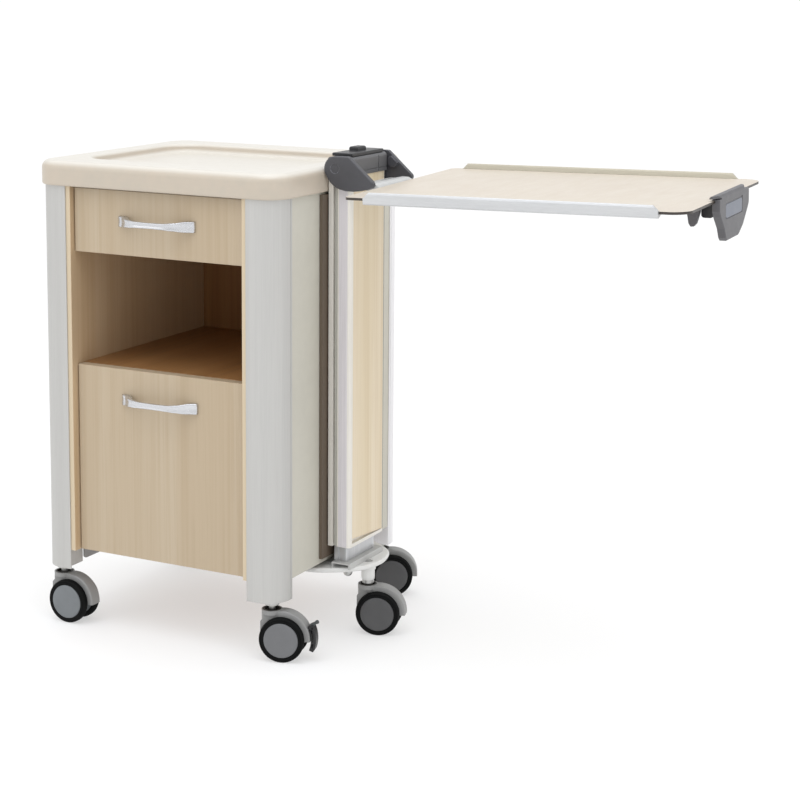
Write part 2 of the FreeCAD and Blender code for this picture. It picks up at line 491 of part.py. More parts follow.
# ------------------------------------------------------------------- casters
def caster_fork(brake):
    # stem axis at 0,0; the wheel's axle is TRAIL ahead along x
    c = cyl(TRAIL, -11.5, WHEEL_R, 46.0, 23.0, (0, 1, 0))
    c = c.common(box(-60, 80, -20, 20, WHEEL_R - 3.0, 100))
    body = fuse(c, box(-16.0, 10.0, -11.5, 11.5, 52.0, 84.0).common(cyl(0, 0, 0, 17.0, 100).fuse(box(0, 20, -20, 20, 0, 100))))
    body = fuse(body, cyl(0, 0, 76.6, 17.0, 7.4))
    body = body.cut(box(-60, -17.0, -20, 20, 0, 100))
    body = fuse(body, cyl(TRAIL, -11.5, WHEEL_R, 11.0, 23.0, (0, 1, 0)))
    body = fil(body, 2.5, lambda e: e.BoundBox.YLength < 0.01 and abs(abs(e.BoundBox.YMin) - 11.5) < 0.01 and e.BoundBox.ZMax > 70 and e.BoundBox.XMax > 30 and e.BoundBox.ZMin > 30)
    # recess round the stem and its socket
    body = body.cut(cyl(0, 0, 80.5, 12.5, 10.0)).cut(cyl(0, 0, 48.0, 5.56, 60.0))
    body = body.cut(cyl(TRAIL, -20, WHEEL_R, 4.06, 40.0, (0, 1, 0)))
    return body


def caster_wheels():
    out = []
    for sy in (-1, 1):
        y0 = 12.0 if sy > 0 else -23.0
        t = cyl(TRAIL, y0, WHEEL_R, WHEEL_R, 11.0, (0, 1, 0))
        t = fil(t, 2.8, lambda e: True)
        t = t.cut(cyl(TRAIL, y0 - 1, WHEEL_R, 29.0, 13.0, (0, 1, 0)))
        out.append(t)
        h0 = y0 + 0.4 if sy > 0 else y0 - 0.6
        h = cyl(TRAIL, h0, WHEEL_R, 28.95, 11.2, (0, 1, 0))
        oy = 23.6 * sy
        h = fil(h, 1.6, lambda e: abs(e.BoundBox.YMin - oy) < 0.01 and abs(e.BoundBox.YMax - oy) < 0.01)
        h = h.cut(cyl(TRAIL, -20.0, WHEEL_R, 4.0, 40.0, (0, 1, 0)))
        out.append(h)
    out.append(cyl(TRAIL, -19.9, WHEEL_R, 3.98, 39.8, (0, 1, 0)))
    return group(*out)


def brake_pedal():
    # hooked pedal over the tail of the fork, with a short tread
    ring = cyl(TRAIL, -9.0, WHEEL_R, 54.8, 18.0, (0, 1, 0)).cut(cyl(TRAIL, -10.0, WHEEL_R, 46.9, 20.0, (0, 1, 0)))
    ring = ring.cut(ring.common(cyl(TRAIL, -12.0, WHEEL_R, 51.4, 24.0, (0, 1, 0))).cut(cyl(TRAIL, -12.0, WHEEL_R, 49.2, 24.0, (0, 1, 0))).common(box(0, 90, -20, 20, 27.0, 55.0)))
    ring = ring.common(ext([(TRAIL, -10, WHEEL_R), (TRAIL + 80, -10, WHEEL_R - 22), (TRAIL + 80, -10, WHEEL_R + 42)], (0, 20, 0)))
    a = math.radians(24)
    tread = box(0, 15.0, -9.0, 9.0, -2.0, 2.2)
    tread.rotate(V(0, 0, 0), V(0, 1, 0), -34)
    tread.translate(V(TRAIL + 50.5 * math.cos(a), 0, WHEEL_R + 50.5 * math.sin(a)))
    tread = tread.cut(cyl(TRAIL, -10.0, WHEEL_R, 46.9, 20.0, (0, 1, 0)))
    return fuse(ring, tread)


sx_, sy_ = hw - STEM_IN, hd - STEM_IN
CAST = {"fl": (-sx_, -sy_, 0.0), "fr": (sx_, -sy_, 16.0), "rl": (-sx_, sy_, 12.0), "rr": (sx_, sy_, 26.7),
        "table": (STEM5[0] + MAST_MOVE[0], STEM5[1] + MAST_MOVE[1], 16.75)}
stems = []
for k, (cx, cy, ang) in CAST.items():
    def place(s):
        s = s.copy()
        s.rotate(V(0, 0, 0), V(0, 0, 1), ang)
        s.translate(V(cx, cy, 0))
        return s
    put("caster_%s_fork" % k, place(caster_fork(k == "fr")))
    put("caster_%s_wheels" % k, place(caster_wheels()))
    if k == "table":
        st = fuse(cyl(0, 0, 50.0, 5.5, 60.0), cyl(0, 0, 85.6, 10.0, FOOT_Z0 - 5.0 - 85.6), cyl(0, 0, 100.0, 8.0, 19.0))
    else:
        st = fuse(cyl(0, 0, 50.0, 5.5, 60.0), cyl(0, 0, 91.5, 12.0, 6.5), cyl(0, 0, 97.0, 6.0, 28.0))
    st.translate(V(cx, cy, 0))
    stems.append(st)
put("caster_stems", group(*stems))
bk = brake_pedal()
bk.rotate(V(0, 0, 0), V(0, 0, 1), CAST["fr"][2])
bk.translate(V(CAST["fr"][0], CAST["fr"][1], 0))
put("brake_pedal", bk)

# -------------------------------------------------------------------- export
bb = None
for s in S.values():
    b = s.optimalBoundingBox(False) if hasattr(s, "optimalBoundingBox") else s.BoundBox
    if bb is None:
        bb = FreeCAD.BoundBox(b)
    else:
        bb.add(b)
DX, DY, DZ = -(bb.XMin + bb.XMax) / 2, -(bb.YMin + bb.YMax) / 2, -bb.ZMin
print("shift", round(DX, 4), round(DY, 4), round(DZ, 4))
print("size", round(bb.XLength, 2), round(bb.YLength, 2), round(bb.ZLength, 2))


def at(p):
    return tuple(round((a + b) / 1000.0, 6) for a, b in zip(p, (DX, DY, DZ)))


print("JOINT lever", at(moved(LEVER)))
print("JOINT fold", at(moved((HINGE_X, 0, HINGE_Z))))
tp = table_place(Part.makeSphere(0.5, V(*TRIG))).BoundBox.Center
tq = table_place(Part.makeSphere(0.5, V(TRIG[0], TRIG[1] + 100, TRIG[2]))).BoundBox.Center
d = tq - tp
d.normalize()
print("JOINT trigger", at(moved((tp.x, tp.y, tp.z))), "axis", (round(d.x, 6), round(d.y, 6), round(d.z, 6)))
for k, (cx, cy, ang) in CAST.items():
    a = math.radians(ang)
    print("JOINT caster", k, "stem", at((cx, cy, 90)), "axle", at((cx + TRAIL * math.cos(a), cy + TRAIL * math.sin(a), WHEEL_R)), "axis", (round(-math.sin(a), 6), round(math.cos(a), 6), 0))
a = math.radians(CAST["fr"][2])
bp = (CAST["fr"][0] + (TRAIL + 50.5) * math.cos(a), CAST["fr"][1] + (TRAIL + 50.5) * math.sin(a), WHEEL_R - 12)
print("JOINT brake", at(bp))
n = 0
for k, s in S.items():
    s = s.translated(V(DX, DY, DZ))
    ok = s.isValid()
    ns = len(s.Solids)
    n += ns
    if not ok:
        print("INVALID", k)
    print("%-24s solids %d vol %.1f" % (k, ns, s.Volume))
    s.exportStep(os.path.join(OUT, k + ".step"))
print("nodes", len(S), "solids", n)
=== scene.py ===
import bpy, bmesh, math
from mathutils import Vector, Matrix

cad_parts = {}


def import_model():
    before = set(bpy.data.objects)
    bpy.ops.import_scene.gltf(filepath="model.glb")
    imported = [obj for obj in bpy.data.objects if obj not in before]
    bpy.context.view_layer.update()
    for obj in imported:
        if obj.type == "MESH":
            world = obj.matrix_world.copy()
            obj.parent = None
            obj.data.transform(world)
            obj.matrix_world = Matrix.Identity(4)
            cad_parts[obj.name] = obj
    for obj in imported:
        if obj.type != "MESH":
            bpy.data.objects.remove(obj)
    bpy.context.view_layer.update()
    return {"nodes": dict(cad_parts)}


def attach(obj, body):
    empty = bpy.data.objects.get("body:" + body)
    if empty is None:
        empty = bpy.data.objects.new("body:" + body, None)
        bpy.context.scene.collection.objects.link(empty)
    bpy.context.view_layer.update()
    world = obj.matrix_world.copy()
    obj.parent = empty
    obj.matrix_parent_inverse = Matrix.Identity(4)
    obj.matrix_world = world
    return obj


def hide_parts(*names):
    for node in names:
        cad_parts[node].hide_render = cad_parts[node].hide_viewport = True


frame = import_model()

NODES = frame["nodes"]
SC = bpy.context.scene
# from the cabinet's own axes to the frame's, and from the mast's drawing place to its place
DX, DY = -0.3287634, -0.009545
MX, MY = DX - 0.003, DY + 0.0056


# ---------------------------------------------------------------- materials
def lin(c):
    out = []
    for v in c[:3]:
        v = v / 255.0
        out.append(v / 12.92 if v <= 0.04045 else ((v + 0.055) / 1.055) ** 2.4)
    return (out[0], out[1], out[2], 1.0)


class Net:
    """A small builder for one node material."""

    def __init__(self, name):
        self.m = bpy.data.materials.new(name)
        self.m.use_nodes = True
        self.t = self.m.node_tree
        self.t.nodes.clear()
        self.out = self.t.nodes.new("ShaderNodeOutputMaterial")
        self.b = self.t.nodes.new("ShaderNodeBsdfPrincipled")
        self.t.links.new(self.b.outputs[0], self.out.inputs[0])
        self.tc = self.t.nodes.new("ShaderNodeTexCoord")
        self.co = self.tc.outputs["Object"]
        self._x = 0

    def n(self, kind, **kw):
        o = self.t.nodes.new(kind)
        self._x -= 30
        o.location = (self._x, -self._x % 700)
        for k, v in kw.items():
            setattr(o, k, v)
        return o

    def link(self, a, b):
        self.t.links.new(a, b)

    def mapping(self, scale, src=None, rot=(0, 0, 0), loc=(0, 0, 0)):
        o = self.n("ShaderNodeMapping")
        o.inputs["Scale"].default_value = scale
        o.inputs["Rotation"].default_value = rot
        o.inputs["Location"].default_value = loc
        self.link(src or self.co, o.inputs["Vector"])
        return o.outputs[0]

    def noise(self, scale, src=None, detail=4.0, rough=0.55, dist=0.0):
        o = self.n("ShaderNodeTexNoise")
        o.inputs["Scale"].default_value = scale
        o.inputs["Detail"].default_value = detail
        o.inputs["Roughness"].default_value = rough
        o.inputs["Distortion"].default_value = dist
        self.link(src or self.co, o.inputs["Vector"])
        return o.outputs[0]

    def rng(self, src, a, b, lo, hi, smooth=False):
        o = self.n("ShaderNodeMapRange")
        o.interpolation_type = "SMOOTHSTEP" if smooth else "LINEAR"
        o.inputs["From Min"].default_value = a
        o.inputs["From Max"].default_value = b
        o.inputs["To Min"].default_value = lo
        o.inputs["To Max"].default_value = hi
        self.link(src, o.inputs["Value"])
        return o.outputs[0]

    def math(self, op, a, b=None, clamp=False):
        o = self.n("ShaderNodeMath")
        o.operation = op
        o.use_clamp = clamp
        for i, v in enumerate((a, b)):
            if v is None:
                continue
            if hasattr(v, "is_linked") or hasattr(v, "links"):
                self.link(v, o.inputs[i])
            else:
                o.inputs[i].default_value = v
        return o.outputs[0]

    def mix(self, fac, a, b, blend="MIX"):
        o = self.n("ShaderNodeMix")
        o.data_type = "RGBA"
        o.blend_type = blend
        if hasattr(fac, "links"):
            self.link(fac, o.inputs[0])
        else:
            o.inputs[0].default_value = fac
        for i, v in ((6, a), (7, b)):
            if hasattr(v, "links"):
                self.link(v, o.inputs[i])
            else:
                o.inputs[i].default_value = v
        return o.outputs[2]

    def bump(self, h, dist, strength=1.0, normal=None):
        o = self.n("ShaderNodeBump")
        o.inputs["Strength"].default_value = strength
        o.inputs["Distance"].default_value = dist
        self.link(h, o.inputs["Height"])
        if normal is not None:
            self.link(normal, o.inputs["Normal"])
        return o.outputs[0]

    def bevel(self, radius, samples=4):
        o = self.n("ShaderNodeBevel")
        o.samples = samples
        o.inputs["Radius"].default_value = radius
        return o.outputs[0]

    def xyz(self, src=None):
        o = self.n("ShaderNodeSeparateXYZ")
        self.link(src or self.co, o.inputs[0])
        return o.outputs

    def set(self, **kw):
        names = {
            "rough": "Roughness",
            "metal": "Metallic",
            "spec": "Specular IOR Level",
            "coat": "Coat Weight",
            "coat_rough": "Coat Roughness",
            "aniso": "Anisotropic",
            "ior": "IOR",
            "sheen": "Sheen Weight",
        }
        for k, v in kw.items():
            self.b.inputs[names[k]].default_value = v

    def color(self, c):
        if hasattr(c, "links"):
            self.link(c, self.b.inputs["Base Color"])
        else:
            self.b.inputs["Base Color"].default_value = c

    def rough(self, v):
        self.link(v, self.b.inputs["Roughness"])

    def normal(self, v):
        self.link(v, self.b.inputs["Normal"])


def shade(c, k):
    return tuple(min(255.0, v * k) for v in c)


def plastic(name, col, rough=0.4, var=0.03, grain=1400.0, bump=0.00004, edge=0.0, spec=0.5,
            metal=0.0, coat=0.0, stretch=(1, 1, 1), tint=None, rvar=0.07, bev=0.0, edge_highlight_gain=1.06,
            up=None):
    w = Net(name)
    mp = w.mapping(stretch)
    big = w.noise(7.0, mp, 3.0)
    mid = w.noise(60.0, mp, 4.0)
    fac = w.math("ADD", w.math("MULTIPLY", big, 0.6), w.math("MULTIPLY", mid, 0.4))
    a = lin(shade(col, 1 - var))
    b = lin(shade(tint or col, 1 + var))
    c = w.mix(w.rng(fac, 0.35, 0.65, 0.0, 1.0, True), a, b)
    if up:
        # painted light: upward faces are mixed, by their normal, towards a paler and more neutral colour that stands in
        # for the brighter light falling on the tops
        c = w.mix(w.rng(w.xyz(w.tc.outputs["Normal"])[2], 0.35, 0.85, 0.0, 1.0), c, lin(up))
    fine = w.noise(grain, mp, 2.0)
    if bev:
        bn = w.bevel(bev)
        # painted highlight: where the bevelled normal turns away from the true normal, the colour is mixed towards a
        # lighter copy of the base colour, standing in for light catching the rounded edges; the edge weight and the
        # lift factor set its strength
        if edge:
            g = w.n("ShaderNodeNewGeometry")
            d = w.n("ShaderNodeVectorMath")
            d.operation = "DOT_PRODUCT"
            w.link(bn, d.inputs[0])
            w.link(g.outputs["Normal"], d.inputs[1])
            e = w.rng(d.outputs["Value"], 0.90, 0.995, 1.0, 0.0, True)
            e = w.math("MULTIPLY", e, w.rng(w.noise(260.0, None, 3.0), 0.35, 0.7, 0.25, 1.0))
            c = w.mix(w.math("MULTIPLY", e, edge), c, lin(shade(col, edge_highlight_gain)))
        w.normal(w.bump(fine, bump, 1.0, bn))
    else:
        w.normal(w.bump(fine, bump, 1.0))
    w.color(c)
    r = w.math("ADD", w.math("MULTIPLY", mid, 0.6), w.math("MULTIPLY", fine, 0.4))
    w.rough(w.rng(r, 0.25, 0.75, max(0.03, rough - rvar), min(1.0, rough + rvar)))
    w.set(spec=spec, metal=metal)
    if coat:
        w.set(coat=coat, coat_rough=0.12)
    return w.m


def maple(name, along, col=(185, 167, 141), dark=(177, 157, 129), light=(190, 174, 150), rough=0.45,
          front=None, back=None):
    """Printed maple laminate with a straight fine grain along one axis."""
    w = Net(name)
    k = {"x": (0.035, 1.0, 1.0), "y": (1.0, 0.035, 1.0), "z": (1.0, 1.0, 0.035)}[along]
    k2 = {"x": (0.012, 1.0, 1.0), "y": (1.0, 0.012, 1.0), "z": (1.0, 1.0, 0.012)}[along]
    m1 = w.mapping(k)
    m2 = w.mapping(k2)
    wide = w.noise(16.0, m1, 3.0, 0.5, 0.3)
    streak = w.noise(95.0, m2, 5.0, 0.6, 0.25)
    fine = w.noise(520.0, m2, 3.0, 0.6)
    cloud = w.noise(6.0, None, 2.0)
    c = w.mix(w.rng(wide, 0.3, 0.7, 0.0, 1.0, True), lin(col), lin(light))
    c = w.mix(w.rng(streak, 0.42, 0.68, 0.0, 0.6, True), c, lin(dark))
    c = w.mix(w.rng(fine, 0.5, 0.74, 0.0, 0.32, True), c, lin(shade(dark, 0.96)))
    c = w.mix(w.rng(cloud, 0.45, 0.7, 0.0, 0.14, True), c, lin(shade(col, 0.97)))
    h = w.math("ADD", w.math("MULTIPLY", fine, 0.6), w.math("MULTIPLY", streak, 0.4))
    if front:
        # plastic edge banding on the forward faces
        c = w.mix(w.rng(w.xyz(w.tc.outputs["Normal"])[1], -0.8, -0.6, 1.0, 0.0), c, lin(front))
    if back:
        # the face turned to the wall gets the plain maple colour; the other faces keep the darker colour passed in,
        # which in the back panel is painted shade
        d = w.mix(w.rng(wide, 0.3, 0.7, 0.0, 1.0, True), lin(back), lin(shade(back, 1.03)))
        d = w.mix(w.rng(streak, 0.42, 0.68, 0.0, 0.6, True), d, lin(shade(back, 0.95)))
        c = w.mix(w.rng(w.xyz(w.tc.outputs["Normal"])[1], 0.6, 0.8, 0.0, 1.0), c, d)
    w.color(c)
    w.rough(w.rng(h, 0.3, 0.7, rough + 0.06, rough - 0.05))
    w.normal(w.bump(h, 0.00006, 1.0, w.bevel(0.0007)))
    w.set(spec=0.45)
    return w.m


def brushed(name, col, rough=0.35, metal=0.85, along="z", var=0.05, bump=0.00002, tint=None, lines=900.0, spec=0.5):
    """Extruded and anodised aluminium: long die lines, a soft sheen and faint handling marks."""
    w = Net(name)
    k = {"x": (0.01, 1.0, 1.0), "y": (1.0, 0.01, 1.0), "z": (1.0, 1.0, 0.01)}[along]
    mp = w.mapping(k)
    line = w.noise(lines, mp, 3.0, 0.65)
    band = w.noise(70.0, mp, 3.0)
    smear = w.noise(14.0, None, 4.0)
    f = w.math("ADD", w.math("MULTIPLY", line, 0.55), w.math("MULTIPLY", band, 0.45))
    c = w.mix(w.rng(f, 0.35, 0.65, 0.0, 1.0, True), lin(shade(col, 1 - var)), lin(shade(tint or col, 1 + var)))
    w.color(c)
    r = w.math("ADD", w.math("MULTIPLY", line, 0.5), w.math("MULTIPLY", smear, 0.5))
    w.rough(w.rng(r, 0.3, 0.7, rough - 0.07, rough + 0.09))
    w.normal(w.bump(line, bump, 1.0, w.bevel(0.0006)))
    w.set(metal=metal, spec=spec)
    return w.m


def laminate():
    """Cream high-pressure laminate; its cut edge shows a dark core with pale faces."""
    w = Net("cream_laminate")
    speck = w.noise(900.0, None, 2.0)
    cloud = w.noise(5.0, None, 3.0)
    c = w.mix(w.rng(cloud, 0.35, 0.65, 0.0, 1.0, True), lin((197, 186, 171)), lin((200, 190, 175)))
    c = w.mix(w.rng(speck, 0.62, 0.75, 0.0, 0.25, True), c, lin((175, 161, 142)))
    z = w.xyz(w.tc.outputs["Normal"])[2]
    side = w.rng(w.math("ABSOLUTE", z), 0.35, 0.6, 1.0, 0.0)
    core = w.mix(w.rng(w.noise(300.0, w.mapping((0.2, 0.2, 6.0)), 3.0), 0.4, 0.6, 0.0, 1.0), lin((48, 42, 38)), lin((66, 58, 51)))
    w.color(w.mix(side, c, core))
    scuff = w.noise(40.0, w.mapping((1.0, 0.25, 1.0)), 5.0, 0.7)
    w.rough(w.rng(scuff, 0.3, 0.7, 0.30, 0.44))
    w.normal(w.bump(speck, 0.00003, 1.0))
    w.set(spec=0.5)
    return w.m


def rubber(name, col=(24, 24, 25), rough=0.55):
    w = Net(name)
    a = w.noise(40.0, None, 4.0)
    f = w.noise(1500.0, None, 2.0)
    c = w.mix(w.rng(a, 0.35, 0.7, 0.0, 1.0, True), lin(col), lin(shade(col, 1.45)))
    dust = w.noise(22.0, None, 5.0, 0.65)
    c = w.mix(w.rng(dust, 0.56, 0.78, 0.0, 0.12, True), c, lin((82, 81, 78)))
    w.color(c)
    w.rough(w.rng(a, 0.3, 0.7, rough - 0.12, rough + 0.1))
    w.normal(w.bump(f, 0.00005, 1.0))
    w.set(spec=0.14)
    return w.m


MAT = {
    "post": brushed("anodised_post", (190, 189, 186), 0.46, 0.3, "z", 0.02, 0.000012),
    # moulding: its upward faces carry painted light through up=, a paler colour mixed in by normal direction
    "moulding": plastic("cream_moulding", (192, 182, 167), 0.33, 0.012, 1100.0, 0.00003, 0.5, 0.6, bev=0.0012, tint=(193, 181, 165), up=(207, 202, 192)),
    "tray": plastic("cream_tray", (204, 205, 202), 0.36, 0.01, 1100.0, 0.00003),
    "side": plastic("cream_side_panel", (196, 193, 181), 0.4, 0.012, 1300.0, 0.00003, bev=0.0008),
    "maple_z": maple("maple_upright", "z"),
    "maple_x": maple("maple_across", "x"),
    "maple_y": maple("maple_deep", "y"),
    "maple_side": maple("maple_side", "z", (196, 170, 136), (186, 158, 122), (202, 178, 146), front=(208, 191, 163)),
    "edge_cream": plastic("cream_edging", (218, 203, 178), 0.42, 0.015, 1200.0, 0.00003),
    "rail": brushed("rail_aluminium", (202, 203, 204), 0.36, 0.4, "x", 0.02),
    "mast": brushed("mast_aluminium", (228, 224, 216), 0.42, 0.2, "z", 0.025),
    "inner": brushed("inner_aluminium", (196, 197, 199), 0.34, 0.7, "z", 0.04),
    "housing": plastic("housing_grey", (97, 97, 99), 0.45, 0.03, 1200.0, 0.00006, 0.5, bev=0.0012, edge_highlight_gain=1.25),
    "cheek": plastic("cheek_grey", (69, 69, 73), 0.40, 0.03, 1300.0, 0.00006, 0.9, bev=0.0016, edge_highlight_gain=2.1),
    "grip": plastic("grip_grey", (86, 85, 88), 0.42, 0.02, 1300.0, 0.00005, 0.7, bev=0.0014, edge_highlight_gain=1.5),
    "dark": plastic("dark_plastic", (40, 40, 42), 0.42, 0.06, 1300.0, 0.00006, 0.5, bev=0.0008, edge_highlight_gain=1.5),
    "black": plastic("black_plastic", (24, 24, 25), 0.4, 0.08, 1300.0, 0.00006, 0.5, bev=0.0008, edge_highlight_gain=1.6),
    "guide": plastic("guide_plastic", (150, 150, 150), 0.5, 0.04, 1100.0, 0.00005),
    "foot": plastic("cast_foot_enamel", (223, 223, 221), 0.42, 0.015, 500.0, 0.0001, 0.5, bev=0.0012, metal=0.05),
    "painted": plastic("painted_steel", (188, 188, 186), 0.42, 0.02, 800.0, 0.00006, 0.5, bev=0.0006),
    "steel": brushed("zinc_steel", (188, 188, 186), 0.3, 0.95, "z", 0.05),
    "slide": brushed("slide_steel", (176, 178, 180), 0.33, 0.95, "y", 0.06),
    "chrome": brushed("handle_satin", (206, 207, 210), 0.24, 0.9, "x", 0.03, 0.00001),
    "hood": plastic("caster_grey", (141, 141, 140), 0.45, 0.02, 1200.0, 0.00007, 0.6, bev=0.0014, edge_highlight_gain=1.15),
    "hub": plastic("hub_grey", (75, 75, 76), 0.4, 0.03, 1200.0, 0.00006, 0.5, bev=0.0012, edge_highlight_gain=1.2),
    # painted light: the two front casters' hubs get lighter copies of the hub grey than the rear and table casters'
    # hubs
    "hub_fl": plastic("hub_grey_fl_painted_light", (115, 119, 122), 0.4, 0.03, 1200.0, 0.00006, 0.5, bev=0.0012, edge_highlight_gain=1.1),
    "hub_fr": plastic("hub_grey_fr_painted_light", (110, 111, 113), 0.4, 0.03, 1200.0, 0.00006, 0.5, bev=0.0012, edge_highlight_gain=1.1),
    "tyre": rubber("tyre_rubber", (7, 8, 8), 0.66),
    "bushing": plastic("bushing_cream", (206, 203, 184), 0.45, 0.02, 1200.0, 0.00005, 0.4, bev=0.0006),
    "cup": plastic("stem_cup_dark", (48, 46, 42), 0.5, 0.06, 1200.0, 0.00005),
    "toe": plastic("pedal_toe", (66, 70, 70), 0.4, 0.05, 1200.0, 0.00005),
    "slot": plastic("slot_strip", (180, 178, 170), 0.5, 0.03, 900.0, 0.00005, stretch=(1, 1, 0.1)),
    "mast_rib": brushed("mast_ribbing", (224, 220, 223), 0.42, 0.2, "z", 0.03),
    "strip": plastic("dark_strip", (70, 60, 50), 0.55, 0.05, 900.0, 0.00005, stretch=(1, 1, 0.1)),
    # painted shade colour for the sheet in the gap beside the mast
    "side_strip": plastic("gap_painted_shade", (99, 86, 73), 0.5, 0.04, 900.0, 0.00005, stretch=(1, 1, 0.1)),
    # painted light: the rear right post gets a much lighter copy of the post anodising, standing in for the stronger
    # light on it
    "post_rr": brushed("anodised_post_rear_painted_light", (236, 235, 237), 0.5, 0.15, "z", 0.02, 0.000012),
    # painted shade and painted reflection: the rear rail gets a darker, beige-tinted copy of the rail aluminium,
    # standing in for shade on its inner face and the board's warm light on it
    "rail_rear": brushed("rear_rail_painted_shade", (187, 181, 164), 0.42, 0.2, "x", 0.02),
    "inset": plastic("inset_grey", (111, 116, 128), 0.4, 0.02, 1300.0, 0.00004, 0.5, bev=0.0005),
    "clamp": plastic("clamp_plastic", (164, 160, 157), 0.5, 0.03, 1100.0, 0.00005),
    # painted shade: the interior boards and the back panel use a darker, more saturated copy of the maple than the
    # fronts, standing in for the shade inside the compartment
    "wood_in": maple("maple_inside_painted_shade", "y", (149, 108, 66), (131, 90, 50), (161, 119, 76)),
    "wood_in_z": maple("maple_back_panel_painted_shade", "z", (137, 95, 54), (119, 78, 40), (148, 105, 62), back=(185, 167, 141)),
    "wood_mast": maple("maple_mast", "z", (222, 206, 176), (212, 192, 157), (229, 215, 191)),
    "laminate": laminate(),
    "lever": plastic("lever_black", (34, 34, 37), 0.36, 0.06, 1200.0, 0.00005, 0.5, bev=0.0012, edge_highlight_gain=1.7),
}

NODE_MAT = {
    "corner_post_fr": "post", "corner_post_fl": "post", "corner_post_rr": "post_rr", "corner_post_rl": "post",
    "caster_brackets": "guide", "side_panel_right": "side", "side_panel_left": "side",
    "carcass_side_right": "maple_side", "carcass_side_left": "maple_side", "back_panel": "wood_in_z",
    "carcass_bottom": "wood_in", "middle_shelf": "wood_in", "drawer_divider": "wood_in",
    "top_board": "tray", "top_moulding": "moulding",
    "upper_drawer_front": "maple_z", "lower_drawer_front": "maple_z",
    "upper_drawer_sides": "maple_y", "lower_drawer_sides": "maple_y",
    "upper_drawer_back": "maple_x", "lower_drawer_back": "maple_x",
    "upper_drawer_bottom": "maple_x", "lower_drawer_bottom": "maple_x",
    "upper_handle": "chrome", "lower_handle": "chrome",
    "upper_drawer_runners": "slide", "lower_drawer_runners": "slide", "drawer_slides_fixed": "slide",
    "mast_foot": "foot", "foot_channel": "painted", "foot_cap_nut": "steel",
    "inner_column": "inner", "gas_spring_cylinder": "black", "gas_spring_rod": "steel",
    "outer_column": "mast", "column_infill": "wood_mast", "column_guide": "guide",
    "head_housing": "housing", "head_cheeks": "cheek", "hinge_pin": "steel", "release_lever": "lever",
    "tabletop": "laminate", "table_rail_front": "rail", "table_rail_rear": "rail_rear",
    "end_grip": "grip", "height_trigger": "dark", "hinge_leaf": "painted", "leaf_bolt": "steel",
    "caster_stems": "steel", "brake_pedal": "black",
}
for c in ("fl", "fr", "rl", "rr", "table"):
    NODE_MAT["caster_%s_fork" % c] = "hood"
    NODE_MAT["caster_%s_wheels" % c] = "hub"


def paint(o, key):
    o.data.materials.clear()
    o.data.materials.append(MAT[key])


for name, o in NODES.items():
    paint(o, NODE_MAT.get(name, "steel"))


# ---------------------------------------------------------------- mesh tools
def make(name, bm, keys, body, smooth=35.0, replaces=None):
    me = bpy.data.meshes.new(name)
    bmesh.ops.recalc_face_normals(bm, faces=bm.faces)
    bm.to_mesh(me)
    bm.free()
    o = bpy.data.objects.new(name, me)
    SC.collection.objects.link(o)
    for k in (keys if isinstance(keys, (list, tuple)) else [keys]):
        me.materials.append(MAT[k])
    for p in me.polygons:
        p.use_smooth = True
    me.set_sharp_from_angle(angle=math.radians(smooth))
    if replaces:
        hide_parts(*replaces)
    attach(o, body)
    return o


# ---------------------------------------------------------------- new pieces
def P(x, y, z, mast=False):
    """Cabinet millimetres to the frame's metres."""
    return Vector((x / 1000.0 + (MX if mast else DX), y / 1000.0 + (MY if mast else DY), z / 1000.0))


def lathe(bm, prof, origin, axis, up, segs=72, mat=0, closed=False):
    """Turn (distance along the axis, radius) points round an axis; millimetres."""
    axis = Vector(axis).normalized()
    up = Vector(up)
    up = (up - axis * up.dot(axis)).normalized()
    side = axis.cross(up)
    rows = []
    for d, r in prof:
        if r < 1e-6:
            rows.append([bm.verts.new(origin + axis * (d / 1000.0))])
            continue
        row = []
        for i in range(segs):
            a = 2 * math.pi * i / segs
            row.append(bm.verts.new(origin + (axis * d + (up * math.cos(a) + side * math.sin(a)) * r) / 1000.0))
        rows.append(row)
    n = len(rows)
    pairs = [(i, i + 1) for i in range(n - 1)] + ([(n - 1, 0)] if closed else [])
    for i, j in pairs:
        a, b = rows[i], rows[j]
        for k in range(segs):
            k2 = (k + 1) % segs
            if len(a) == 1 and len(b) == 1:
                continue
            if len(a) == 1:
                f = bm.faces.new((a[0], b[k], b[k2]))
            elif len(b) == 1:
                f = bm.faces.new((a[k], b[0], a[k2]))
            else:
                f = bm.faces.new((a[k], b[k], b[k2], a[k2]))
            f.material_index = mat
    return rows


def prism(bm, pts, d, mat=0, mast=False):
    """Closed outline of (x, y, z) millimetres pushed along d."""
    a = [bm.verts.new(P(*p, mast)) for p in pts]
    dv = Vector(d) / 1000.0
    b = [bm.verts.new(v.co + dv) for v in a]
    n = len(a)
    fs = [bm.faces.new(a), bm.faces.new(list(reversed(b)))]
    for i in range(n):
        j = (i + 1) % n
        fs.append(bm.faces.new((a[i], b[i], b[j], a[j])))
    for f in fs:
        f.material_index = mat
    return fs


def block(bm, x0, x1, y0, y1, z0, z1, mat=0, mast=False):
    return prism(bm, [(x0, y0, z0), (x1, y0, z0), (x1, y1, z0), (x0, y1, z0)], (0, 0, z1 - z0), mat, mast)


def soften(o, width, segments=2, angle=30.0):
    m = o.modifiers.new("edges", "BEVEL")
    m.width = width
    m.segments = segments
    m.limit_method = "ANGLE"
    m.angle_limit = math.radians(angle)
    m.harden_normals = False
    return o


def lerp(t, xs, ys):
    if t <= xs[0]:
        return ys[0]
    for i in range(len(xs) - 1):
        if t <= xs[i + 1]:
            k = (t - xs[i]) / (xs[i + 1] - xs[i])
            k = k * k * (3 - 2 * k)
            return ys[i] + (ys[i + 1] - ys[i]) * k
    return ys[-1]


